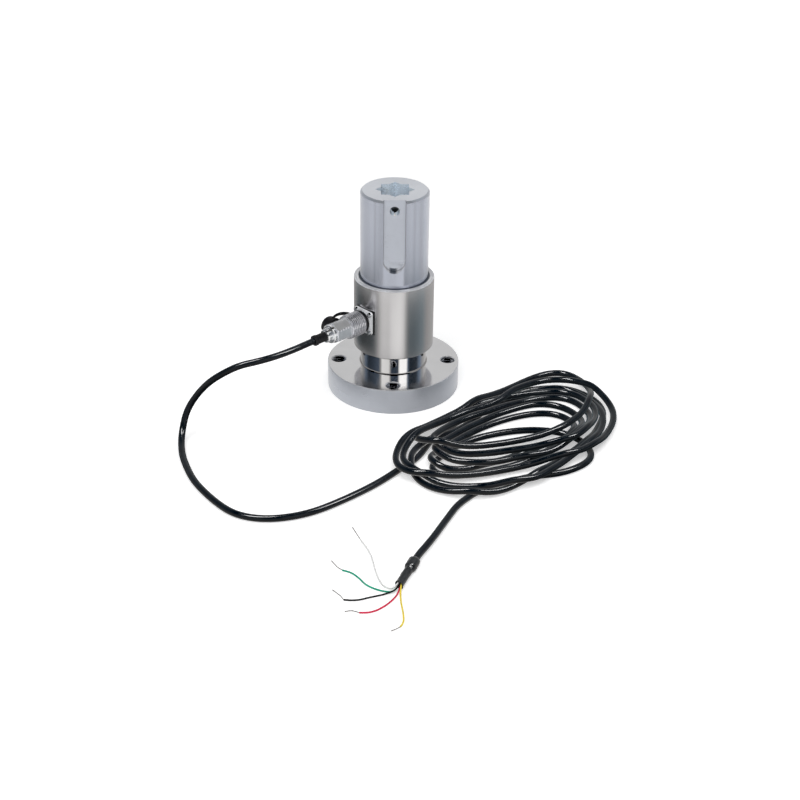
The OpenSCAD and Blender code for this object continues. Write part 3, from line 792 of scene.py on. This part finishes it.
def plated(name, dark, light, rough, scale=260, metallic=1.0):
    """Bright plating with a thin film of handling marks."""
    made, tree, shader, place = material(name, metallic)
    film = noise(tree, place, scale, detail=4.0, rough=0.6, warp=0.5)
    join(tree, tinted(tree, between(tree, film, 0.0, 1.0), dark, light), shader.inputs["Base Color"])
    join(tree, between(tree, film, rough * 0.6, rough * 1.7), shader.inputs["Roughness"])
    bumped(tree, shader, noise(tree, place, FILM_GRAIN, detail=2.0), strength=0.3, depth=6e-7)
    return made


def plastic(name, dark, light, rough, grain=1500, depth=1.2e-5, coat=0.0, ior=1.5, gloss=0.5):
    """Moulded plastic or rubber with a fine grain and slightly uneven gloss."""
    made, tree, shader, place = material(name, 0.0, coat=coat, ior=ior)
    shader.inputs["Specular IOR Level"].default_value = gloss
    patch = noise(tree, place, PATCH_SCALE, warp=0.3)
    join(tree, tinted(tree, between(tree, patch, 0.0, 1.0), dark, light), shader.inputs["Base Color"])
    join(tree, between(tree, patch, rough * 0.75, rough * 1.3), shader.inputs["Roughness"])
    bumped(tree, shader, noise(tree, place, grain, rough=0.6), strength=0.4, depth=depth)
    return made


HEAD = steel("head_turned", (0.46, 0.49, 0.57), (0.51, 0.54, 0.62), 0.20,
             ring_scale=1500, ring_depth=4e-7, anisotropy=0.8, patches=0.02, metallic=0.95)
TOP_FACE = steel("top_face_turned", (0.74, 0.77, 0.83), (0.80, 0.83, 0.89), 0.34,
                 ring_scale=1800, ring_depth=1e-6, anisotropy=0.4, patches=0.04, metallic=0.5)
SLOT = slot_steel("slot_milled", (0.51, 0.54, 0.61), (0.56, 0.595, 0.67))
SOCKET = socket_steel("socket_broached", (0.74, 0.84, 0.95), (0.86, 0.93, 0.97))
NECK = steel("neck_polished", (0.90, 0.885, 0.865), (0.94, 0.925, 0.905), 0.05,
             ring_scale=1600, ring_depth=2e-7, patches=0.012)
FOOT = steel("neck_foot_turned", (0.40, 0.39, 0.39), (0.48, 0.47, 0.46), 0.28,
             ring_scale=1600, ring_depth=6e-7, patches=0.03)
FLANGE_TOP = steel("flange_top_turned", (0.76, 0.77, 0.80), (0.82, 0.83, 0.86), 0.13,
                   ring_scale=1900, ring_depth=3e-7, anisotropy=0.8, patches=0.015)
FLANGE_RIM = steel("flange_rim_turned", (0.52, 0.55, 0.615), (0.58, 0.61, 0.675), 0.32,
                   ring_scale=1500, ring_depth=1e-6, anisotropy=0.6, patches=0.04, speck=0.2, metallic=0.9)
FLANGE_BASE = steel("flange_base_ground", (0.50, 0.52, 0.55), (0.60, 0.62, 0.65), 0.38,
                    ring_scale=1200, ring_depth=5e-6, anisotropy=0.4)
EDGE = steel("edge_bright", (0.62, 0.63, 0.67), (0.74, 0.75, 0.78), 0.22,
             ring_scale=1500, ring_depth=5e-7, patches=0.03, metallic=0.35)
HEAD_EDGE = steel("head_edge", (0.50, 0.53, 0.59), (0.58, 0.61, 0.67), 0.30,
                  ring_scale=1500, ring_depth=5e-7, patches=0.03, metallic=0.5)
# Steel of the bolt holes' walls and threads: its dark tone is partly painted shade inside the holes, its
# spread of tone is the steel's own
SHADED_THREAD = steel("thread_steel_painted_shade", (0.30, 0.31, 0.34), (0.60, 0.61, 0.65), 0.20,
               ring_scale=900, ring_depth=2e-6, metallic=0.78)
SLEEVE = steel("sleeve_blasted", (0.61, 0.605, 0.62), (0.63, 0.625, 0.64), 0.22,
               ring_scale=1300, ring_depth=2e-8, patches=0.004)
SLEEVE_TOP = steel("sleeve_top_turned", (0.66, 0.67, 0.71), (0.78, 0.79, 0.82), 0.26,
                   ring_scale=1500, ring_depth=5e-7, patches=0.03, metallic=0.3)
NICKEL = plated("nickel_plated", (0.86, 0.87, 0.90), (0.93, 0.94, 0.96), 0.10, metallic=0.80)
HEX = plated("nickel_plated_hexagon", (0.84, 0.85, 0.89), (0.92, 0.93, 0.96), 0.12, metallic=0.58)
# Nickel for the feet between the ring's ridges, darkened as painted shade
SHADED_RIDGE_FOOT = plated("nickel_ridge_foot_painted_shade", (0.30, 0.30, 0.33), (0.44, 0.44, 0.48), 0.22, metallic=0.6)
CAST = steel("plate_cast", (0.80, 0.81, 0.84), (0.94, 0.95, 0.97), 0.36,
             ring_scale=1200, ring_depth=1.2e-5, patches=0.10, speck=0.6, metallic=0.0)
GOLD = plated("gold_plated", (0.72, 0.50, 0.20), (0.90, 0.66, 0.30), 0.16)
RUBBER = plastic("rubber_black", (0.006, 0.006, 0.008), (0.016, 0.016, 0.018), 0.45,
                 grain=1300, depth=2e-5, gloss=0.3)
SEAL = plastic("seal_blue_grey", (0.050, 0.060, 0.078), (0.075, 0.088, 0.110), 0.5,
               grain=1300, depth=2e-5, gloss=0.3)
INSERT = plastic("insert_black", (0.012, 0.012, 0.013), (0.03, 0.03, 0.032), 0.35)
CABLE = plastic("cable_jacket", (0.0008, 0.0014, 0.0022), (0.0022, 0.0034, 0.0048), 0.16,
                grain=160, depth=1.6e-4, ior=1.38, gloss=0.3)
SHRINK = plastic("shrink_sleeve_black", (0.0012, 0.0016, 0.0022), (0.004, 0.005, 0.006), 0.30,
                 grain=900, depth=3e-5, gloss=0.3)
BOARD = plastic("board_green", (0.01, 0.09, 0.045), (0.02, 0.15, 0.07), 0.3)
FOIL = plastic("gauge_film", (0.42, 0.26, 0.08), (0.60, 0.40, 0.15), 0.3)
BRIDGE_WIRE = plastic("bridge_wire_red", (0.35, 0.02, 0.015), (0.5, 0.04, 0.03), 0.35)
TINNED = plated("tinned_strands", (0.55, 0.53, 0.52), (0.78, 0.76, 0.74), 0.22, scale=900)
LEAD_FINISH = {
    "lead_white": plastic("insulation_white", (0.84, 0.84, 0.83), (0.92, 0.92, 0.91), 0.35),
    "lead_green": plastic("insulation_green", (0.0, 0.30, 0.18), (0.003, 0.42, 0.26), 0.35),
    "lead_black": plastic("insulation_black", (0.002, 0.002, 0.003), (0.006, 0.006, 0.007), 0.32, gloss=0.3),
    "lead_red": plastic("insulation_red", (0.62, 0.006, 0.055), (0.74, 0.010, 0.075), 0.35),
    "lead_yellow": plastic("insulation_yellow", (0.90, 0.68, 0.05), (0.97, 0.78, 0.09), 0.35),
}
NODE_FINISH = {
    "housing_sleeve": SLEEVE, "top_seal": SEAL, "bottom_seal": RUBBER, "strain_gauges": FOIL,
    "terminal_board": BOARD, "bridge_wires": BRIDGE_WIRE, "receptacle_gasket": RUBBER,
    "receptacle_shell": NICKEL, "receptacle_screws": NICKEL, "receptacle_insert": INSERT,
    "receptacle_pins": GOLD, "dust_cap": RUBBER, "coupling_ring": NICKEL, "plug_shell": HEX,
    "plug_insert": INSERT, "plug_contacts": GOLD, "clamp_nut": NICKEL, "strain_relief_boot": RUBBER,
    "shrink_sleeve": SHRINK, "lead_tips": TINNED,
}


def dress(piece, *finishes):
    piece.data.materials.clear()
    for finish in finishes:
        piece.data.materials.append(finish)


for node, finish in NODE_FINISH.items():
    dress(NODES[node], finish)
dress(cable_run, CABLE)
dress(thread_piece, SHADED_THREAD)
dress(sleeve_piece, SHRINK)
for name, run in lead_runs.items():
    dress(run, LEAD_FINISH[name])
    dress(lead_ends[name], TINNED)


def faces(piece):
    """Middles in millimetres and facings of a piece's faces."""
    found = []
    for fact in ("center", "normal"):
        numbers = np.zeros(len(piece.data.polygons) * 3)
        piece.data.polygons.foreach_get(fact, numbers)
        found.append(numbers.reshape(-1, 3))
    return found[0] / MM, found[1]


def dress_faces(piece, finishes, kinds):
    """Gives each face the finish whose place in the finishes its kind names."""
    dress(piece, *finishes)
    piece.data.polygons.foreach_set("material_index", kinds.astype(np.int32))


# Regions of the torsion body, found from where its faces lie
TOTAL_H = 151.0
FLANGE_H = 19.0
FLANGE_R = 47.5
NECK_FOOT_R = 24.5
BOLT_BEVEL = 0.4
HEAD_Z = 80.0
HEAD_R = 24.0
SLOT_FLOOR_Y = -19.5
SLOT_HALF = 7.75
SLOT_FROM_Z = 95.0
SOCKET_R = 18.9
SOCKET_FROM_Z = 113.0
BORE_R = 12.0
BORE_FROM_Z = 60.0
CROSS_HOLE_Z = 142.9
CROSS_HOLE_R = 3.4
CROSS_HOLE_Y = -10.0
EDGE_H = 1.2
# A face this near a limit still lies within it
SLACK = 0.3
# How far a face turns one way: fully, mostly, by half and a little
FULLY = 0.9
MOSTLY = 0.7
HALF = 0.5
LITTLE = 0.2
BODY_FINISHES = (HEAD, TOP_FACE, SLOT, SOCKET, NECK, FOOT,
                 FLANGE_TOP, FLANGE_RIM, FLANGE_BASE, EDGE, HEAD_EDGE, SHADED_THREAD)


def from_bolt(x, y):
    """Distance from the middle of the nearest of the flange's holes."""
    quarter = 2 * math.pi / BOLT_HOLES
    turn = np.round(np.arctan2(y, x) / quarter) * quarter
    return np.hypot(x - BOLT_CIRCLE_R * np.cos(turn), y - BOLT_CIRCLE_R * np.sin(turn))


def body_regions():
    """The finish of each face of the torsion body, where a later region covers an earlier one."""
    middle, facing = faces(NODES["torsion_body"])
    x, y, z = middle.T
    front, up = -facing[:, 1], facing[:, 2]
    radius = np.hypot(x, y)
    outward = (facing[:, 0] * x + facing[:, 1] * y) / np.maximum(radius, TINY)
    head, flange = z > HEAD_Z - SLACK, z < FLANGE_H + SLACK
    slanted = (up > LITTLE) & (up < FULLY)
    slot = (np.abs(x) < SLOT_HALF + SLACK) & (y < SLOT_FLOOR_Y + SLACK) & (z > SLOT_FROM_Z)
    slot &= radius < HEAD_R - SLACK
    cross_hole = (np.hypot(x, z - CROSS_HOLE_Z) < CROSS_HOLE_R + SLACK) & (y < CROSS_HOLE_Y)
    regions = (
        (HEAD, head & (outward > HALF)),
        (TOP_FACE, head & (z > TOTAL_H - SLACK) & (up > FULLY)),
        (SOCKET, (z > SOCKET_FROM_Z) & (radius < SOCKET_R) & (up < FULLY)),
        (SOCKET, (z > BORE_FROM_Z) & (radius < BORE_R) & (z < TOTAL_H - EDGE_H + SLACK)),
        (SLOT, slot),
        (NECK, slot & (z < SLOT_ARC_Z) & (front < MOSTLY)),
        (NECK, cross_hole & (front < MOSTLY)),
        (FLANGE_TOP, flange & (radius > NECK_FOOT_R) & (up > FULLY)),
        (FLANGE_RIM, flange & (outward > FULLY) & (radius > FLANGE_R - EDGE_H)),
        (FLANGE_BASE, flange & (up < -HALF)),
        (SHADED_THREAD, flange & (from_bolt(x, y) < BOLT_HOLE_R + BOLT_BEVEL) & (np.abs(up) < FULLY)),
        (EDGE, slanted & flange & (radius > BOLT_CIRCLE_R - 2 * BOLT_HOLE_R)),
        (HEAD_EDGE, slanted & head & (z > TOTAL_H - EDGE_H - SLACK)),
        (FOOT, (z < FLANGE_H + EDGE_H) & (z > FLANGE_H - SLACK) & (radius < NECK_FOOT_R + SLACK)),
    )
    kinds = np.full(len(z), BODY_FINISHES.index(NECK))
    for finish, found in regions:
        kinds[found] = BODY_FINISHES.index(finish)
    dress_faces(NODES["torsion_body"], BODY_FINISHES, kinds)


# The receptacle's square plate is a casting, the rest of its shell is plated
PLATE_STATIONS = (28.4, 30.2)


def plate_region():
    middle, _ = faces(NODES["receptacle_shell"])
    station = middle @ np.array(CONNECTOR_WAY)
    cast = (station > PLATE_STATIONS[0]) & (station < PLATE_STATIONS[1])
    dress_faces(NODES["receptacle_shell"], (NICKEL, CAST), cast)


# The sleeve's upper rim, which lies above this height, is turned bright
SLEEVE_TOP_Z = 85.0


def sleeve_region():
    middle, facing = faces(NODES["housing_sleeve"])
    top = (facing[:, 2] > LITTLE) & (middle[:, 2] > SLEEVE_TOP_Z)
    dress_faces(NODES["housing_sleeve"], (SLEEVE, SLEEVE_TOP), top)


# The feet between the coupling ring's bright ridges lie deeper than this share of the ridges; they are
# rougher, and darkened as painted shade
FOOT_SHARE = 0.4
BORE_SLACK = 0.05


def ridge_feet():
    middle, _ = faces(ring_piece)
    way = np.array(CONNECTOR_WAY)
    middle -= np.array((0, 0, CONNECTOR_Z))
    radius = np.linalg.norm(middle - (middle @ way)[:, None] * way, axis=1)
    foot = (radius < RING_R - FOOT_SHARE * RIDGE_DEPTH) & (radius > RING_BORE_R + BORE_SLACK)
    dress_faces(ring_piece, (HEX, SHADED_RIDGE_FOOT), foot)


body_regions()
plate_region()
sleeve_region()
ridge_feet()

# Floor
FLOOR_SIDE = 10.0
FLOOR_PARTS = 8
FLOOR_WHITE = (0.92, 0.92, 0.92, 1)
# The floor that the camera sees glows a little, and fully far off
FLOOR_GLOW = 0.45
FAR_GLOW = 1.0
GLOW_FADE = (0.40, 1.10)
# Brightness of the room by bearing, in degrees to the right of the camera, as the steel mirrors it
ROOM_PEAK = 1.3
# The floor close by, in the flange's rim
RIM_ROOM = (
    (-180, 1.2), (-92, 1.2), (-40, 1.12), (-10, 0.96), (20, 0.78), (45, 0.70), (70, 0.78), (97, 1.0),
    (130, 1.2), (180, 1.2),
)
# The floor further off, in the housing sleeve
LOW_ROOM = (
    (-180, 0.50), (-154, 0.36), (-122, 0.10), (-104, 0.03), (-72, 0.04), (-58, 0.08), (-47, 0.32),
    (-37, 0.72), (-28, 0.82), (-14, 0.76), (-4, 1.0), (18, 1.12), (29, 0.92), (36, 0.34), (44, 0.13),
    (62, 0.14), (76, 0.19), (91, 0.25), (108, 0.37), (131, 0.46), (180, 0.50),
)
# The floor far off, in the head
FAR_ROOM = (
    (-180, 0.92), (-110, 0.82), (-80, 0.98), (-72, 0.92), (-69, 0.60), (-65, 0.96), (-52, 0.84),
    (-44, 0.78), (-34, 1.05), (-12, 0.96), (4, 0.86), (20, 0.90), (31, 1.15), (36, 0.76), (41, 0.68),
    (46, 0.92), (60, 0.98), (71, 0.78), (80, 0.96), (100, 0.78), (124, 0.96), (180, 0.92),
)
# The walls, in the neck and the flange's top
HIGH_ROOM = (
    (-180, 0.66), (-160, 0.55), (-135, 0.30), (-112, 0.14), (-96, 0.03), (-72, 0.06), (-52, 0.10),
    (-45, 0.30), (-39, 0.92), (-15, 0.84), (-10, 0.30), (-6, 0.06), (17, 0.06), (20, 0.7), (24, 1.28),
    (47, 1.28), (53, 0.18), (60, 0.03), (90, 0.03), (108, 0.22), (128, 0.38), (150, 0.55), (180, 0.66),
)
LOW_TINT = (0.80, 1.0, 1.10)
HIGH_TINT = (0.70, 0.92, 1.25)
BRIGHT_TINT = (1.0, 0.985, 0.96)
TINTED_BELOW = 0.3
BLACK = (0.0, 0.0, 0.0)
# Distances from the axis over which one part of the floor goes over to the next, and how the nearest dims
RIM_FADE = (0.062, 0.083)
RIM_GLOW = (0.76, 0.40)
NEAR_FADE = (0.083, 0.090)
FAR_FADE = (0.203, 0.226)
# Radius of the upright shaft that mirrors the floor, and how often its bearing is worked out again
MIRROR_R = 0.0275
MIRROR_ROUNDS = 2


def bearing(tree, x, y):
    return math_node(tree, "ARCTAN2", x, math_node(tree, "MULTIPLY", y, -1.0))


def bearing_glow(tree, turn, room, tint_dark):
    """The room's brightness towards a bearing, as a colour of at most 1."""
    ramp = tree.nodes.new("ShaderNodeValToRGB")
    tree.links.new(between(tree, turn, 0.0, 1.0, -math.pi, math.pi), ramp.inputs[0])
    stops = ramp.color_ramp.elements
    for degrees, glow in room:
        share = (degrees + 180) / 360
        stop = stops[0] if share == 0 else stops[-1] if share == 1 else stops.new(share)
        tint = tint_dark if glow < TINTED_BELOW else BRIGHT_TINT
        stop.color = (*(glow / ROOM_PEAK * c for c in tint), 1)
    return ramp.outputs[0]


def mirrored_turn(tree, turn, away):
    """The bearing that the upright shaft shows for a place on the floor, which lies a little beside it."""
    shown = turn
    for _ in range(MIRROR_ROUNDS):
        sine = math_node(tree, "SINE", math_node(tree, "MULTIPLY", shown, 0.5))
        offset = math_node(tree, "DIVIDE", math_node(tree, "MULTIPLY", sine, MIRROR_R), away)
        shown = math_node(tree, "ADD", turn, math_node(tree, "ARCSINE", offset))
    return shown


def mirrored_floor(tree, x, y, away):
    """The floor's colour for mirror rays, by its distance and its bearing."""
    turn = mirrored_turn(tree, bearing(tree, x, y), away)
    rim, low, far = (bearing_glow(tree, turn, room, LOW_TINT) for room in (RIM_ROOM, LOW_ROOM, FAR_ROOM))
    near = tinted(tree, between(tree, away, *RIM_GLOW, *RIM_FADE), BLACK, rim)
    beyond = tinted(tree, between(tree, away, 0.0, 1.0, *FAR_FADE), low, far)
    return tinted(tree, between(tree, away, 0.0, 1.0, *NEAR_FADE), near, beyond)


def mixed(tree, share, first, second):
    """One shader or the other, by the share."""
    node = tree.nodes.new("ShaderNodeMixShader")
    for source, socket in zip((share, first, second), node.inputs):
        tree.links.new(source, socket)
    return node.outputs[0]


def make_floor():
    bpy.ops.mesh.primitive_grid_add(x_subdivisions=FLOOR_PARTS, y_subdivisions=FLOOR_PARTS, size=FLOOR_SIDE)
    floor = bpy.context.object
    floor.name = "floor"
    made = bpy.data.materials.new("floor_white")
    made.use_nodes = True
    tree = made.node_tree
    tree.nodes.clear()
    ray = tree.nodes.new("ShaderNodeLightPath").outputs
    x, y, _ = split(tree, tree.nodes.new("ShaderNodeTexCoord").outputs["Object"])
    away = distance(tree, x, y)
    diffuse = tree.nodes.new("ShaderNodeBsdfDiffuse")
    diffuse.inputs["Color"].default_value = FLOOR_WHITE
    glow = tree.nodes.new("ShaderNodeEmission")
    fade = between(tree, away, FLOOR_GLOW, FAR_GLOW, *GLOW_FADE)
    tree.links.new(math_node(tree, "MULTIPLY", ray["Is Camera Ray"], fade), glow.inputs["Strength"])
    seen = tree.nodes.new("ShaderNodeAddShader")
    tree.links.new(diffuse.outputs[0], seen.inputs[0])
    tree.links.new(glow.outputs[0], seen.inputs[1])
    mirrored = tree.nodes.new("ShaderNodeEmission")
    mirrored.inputs["Strength"].default_value = ROOM_PEAK
    tree.links.new(mirrored_floor(tree, x, y, away), mirrored.inputs["Color"])
    out = tree.nodes.new("ShaderNodeOutputMaterial")
    surface = mixed(tree, ray["Is Glossy Ray"], seen.outputs[0], mirrored.outputs[0])
    tree.links.new(surface, out.inputs["Surface"])
    dress(floor, made)


# Room, by how far a direction points up: where the walls' pattern begins and ends, and the ceiling begins
WALLS_FROM = (0.10, 0.28)
WALLS_TO = (0.62, 0.80)
CEILING_FROM = (0.45, 0.70)
EVEN_GLOW = 0.72
# The ceiling goes from dark over the camera to dim behind the object
ABOVE_SPAN = (0.15, 0.95)
ABOVE_GLOW = (-0.45, 0.25)
# A wide soft box up to the right, which the plug's upper flat mirrors
SOFT_BOX_WAY = (0.479, 0.352, 0.804)
SOFT_BOX_EDGES = (0.90, 0.95)
SOFT_BOX_GLOW = 0.9
WHITE = (1.0, 1.0, 1.0, 1.0)


def room_colour(tree, x, y, z):
    """The room's colour in a direction, for all rays but the camera's."""
    walls = math_node(tree, "MULTIPLY", between(tree, z, 0.0, 1.0, *WALLS_FROM),
                      between(tree, z, 1.0, 0.0, *WALLS_TO))
    ceiling = between(tree, z, 0.0, 1.0, *CEILING_FROM)
    above = between(tree, y, ABOVE_GLOW[0] / ROOM_PEAK, ABOVE_GLOW[1] / ROOM_PEAK, *ABOVE_SPAN)
    parts = [math_node(tree, "MULTIPLY", part, share) for part, share in zip((x, y, z), SOFT_BOX_WAY)]
    to_box = math_node(tree, "ADD", parts[0], math_node(tree, "ADD", parts[1], parts[2]))
    boxed = between(tree, to_box, 0.0, 1.0, *SOFT_BOX_EDGES)
    high = tinted(tree, boxed, grey(tree, above), grey(tree, SOFT_BOX_GLOW / ROOM_PEAK))
    plain = tinted(tree, ceiling, grey(tree, EVEN_GLOW / ROOM_PEAK), high)
    return tinted(tree, walls, plain, bearing_glow(tree, bearing(tree, x, y), HIGH_ROOM, HIGH_TINT))


def make_world():
    """The room for mirror rays, and plain white of strength 1 for the camera."""
    world = bpy.data.worlds.new("room")
    world.use_nodes = True
    tree = world.node_tree
    x, y, z = split(tree, tree.nodes.new("ShaderNodeTexCoord").outputs["Generated"])
    background = tree.nodes["Background"]
    tree.links.new(room_colour(tree, x, y, z), background.inputs["Color"])
    background.inputs["Strength"].default_value = ROOM_PEAK
    white = tree.nodes.new("ShaderNodeBackground")
    white.inputs["Color"].default_value = WHITE
    ray = tree.nodes.new("ShaderNodeLightPath").outputs
    seen = mixed(tree, ray["Is Camera Ray"], background.outputs[0], white.outputs[0])
    tree.links.new(seen, tree.nodes["World Output"].inputs["Surface"])
    bpy.context.scene.world = world


# Lamps: place, width, length and power of the narrow ones, then the wide one
LAMPS = [
    ("lamp_over", (-0.35, -0.25, 1.25), 0.20, 0.8, 42.0),
    ("lamp_right", (0.75, -0.15, 1.05), 0.18, 0.6, 22.0),
]
FILL_AT = (-0.25, -0.9, 1.8)
FILL_SIDE = 2.0
FILL_POWER = 40.0


def make_lamp(name, at, width, length, power):
    """A flat lamp that faces the origin."""
    data = bpy.data.lights.new(name, "AREA")
    data.shape = "RECTANGLE"
    data.size, data.size_y, data.energy = width, length, power
    lamp = bpy.data.objects.new(name, data)
    lamp.matrix_world = Matrix.Translation(at) @ (-Vector(at)).to_track_quat("-Z", "Y").to_matrix().to_4x4()
    bpy.context.scene.collection.objects.link(lamp)
    return lamp


def light():
    """Narrow lamps that light only the cable and its shrink sleeve, and a wide one that no steel mirrors."""
    shiny = bpy.data.collections.new("lit_by_lamps")
    for piece in (cable_run, sleeve_piece):
        shiny.objects.link(piece)
    for name, at, width, length, power in LAMPS:
        make_lamp(name, at, width, length, power).light_linking.receiver_collection = shiny
    make_lamp("lamp_fill", FILL_AT, FILL_SIDE, FILL_SIDE, FILL_POWER).visible_glossy = False


make_floor()
make_world()
light()
# The sleeve's even look shows no cable in it
cable_run.visible_glossy = False
bpy.context.scene.view_settings.view_transform = "Standard"
